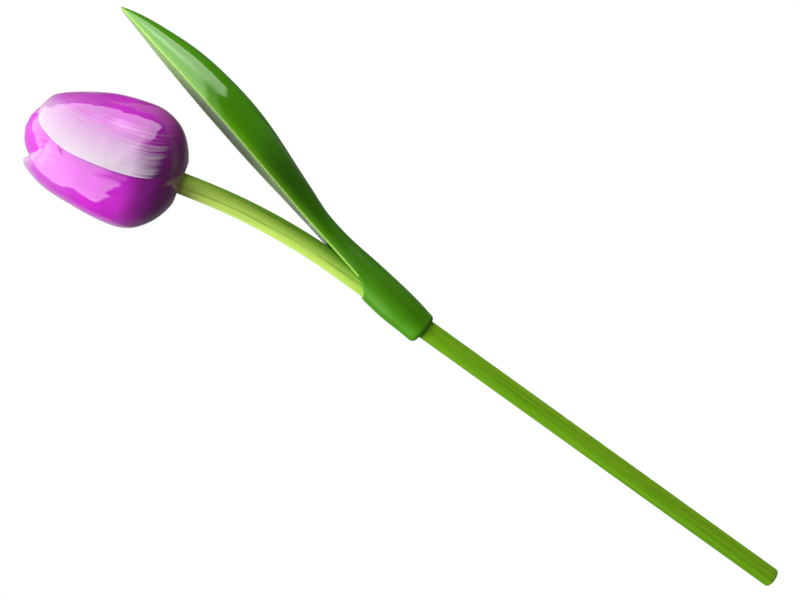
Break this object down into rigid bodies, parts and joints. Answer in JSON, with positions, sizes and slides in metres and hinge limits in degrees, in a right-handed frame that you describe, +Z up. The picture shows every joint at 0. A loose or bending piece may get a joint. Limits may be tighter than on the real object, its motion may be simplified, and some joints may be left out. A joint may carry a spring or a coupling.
{
  "type": "wooden tulip",
  "caption": "Carved and lacquered wooden tulip: a closed bloom with overlapping petals on a gently bent round stem, with one long carved leaf on a collar.",
  "frame": {"origin": "centre of the stem's flat lower end", "axes": "+Z up the straight part of the stem, +X towards the leaf; the top of the stem bends towards -X"},
  "size_m": [0.0748, 0.0482, 0.3387],
  "materials": {
    "bloom_lacquer": "gloss",
    "stem_paint": "satin",
    "leaf_lacquer": "gloss"
  },
  "bodies": {
    "flower_on_stem": {"stem": "stem_paint", "flower_head": "bloom_lacquer"},
    "leaf": {"leaf": "leaf_lacquer"}
  },
  "joints": [
    {"name": "leaf_turn", "type": "hinge", "parent": "flower_on_stem", "child": "leaf", "pos_m": [0, 0, 0.189], "axis": [0, 0, 1], "range_deg": [-72, 72]}
  ]
}
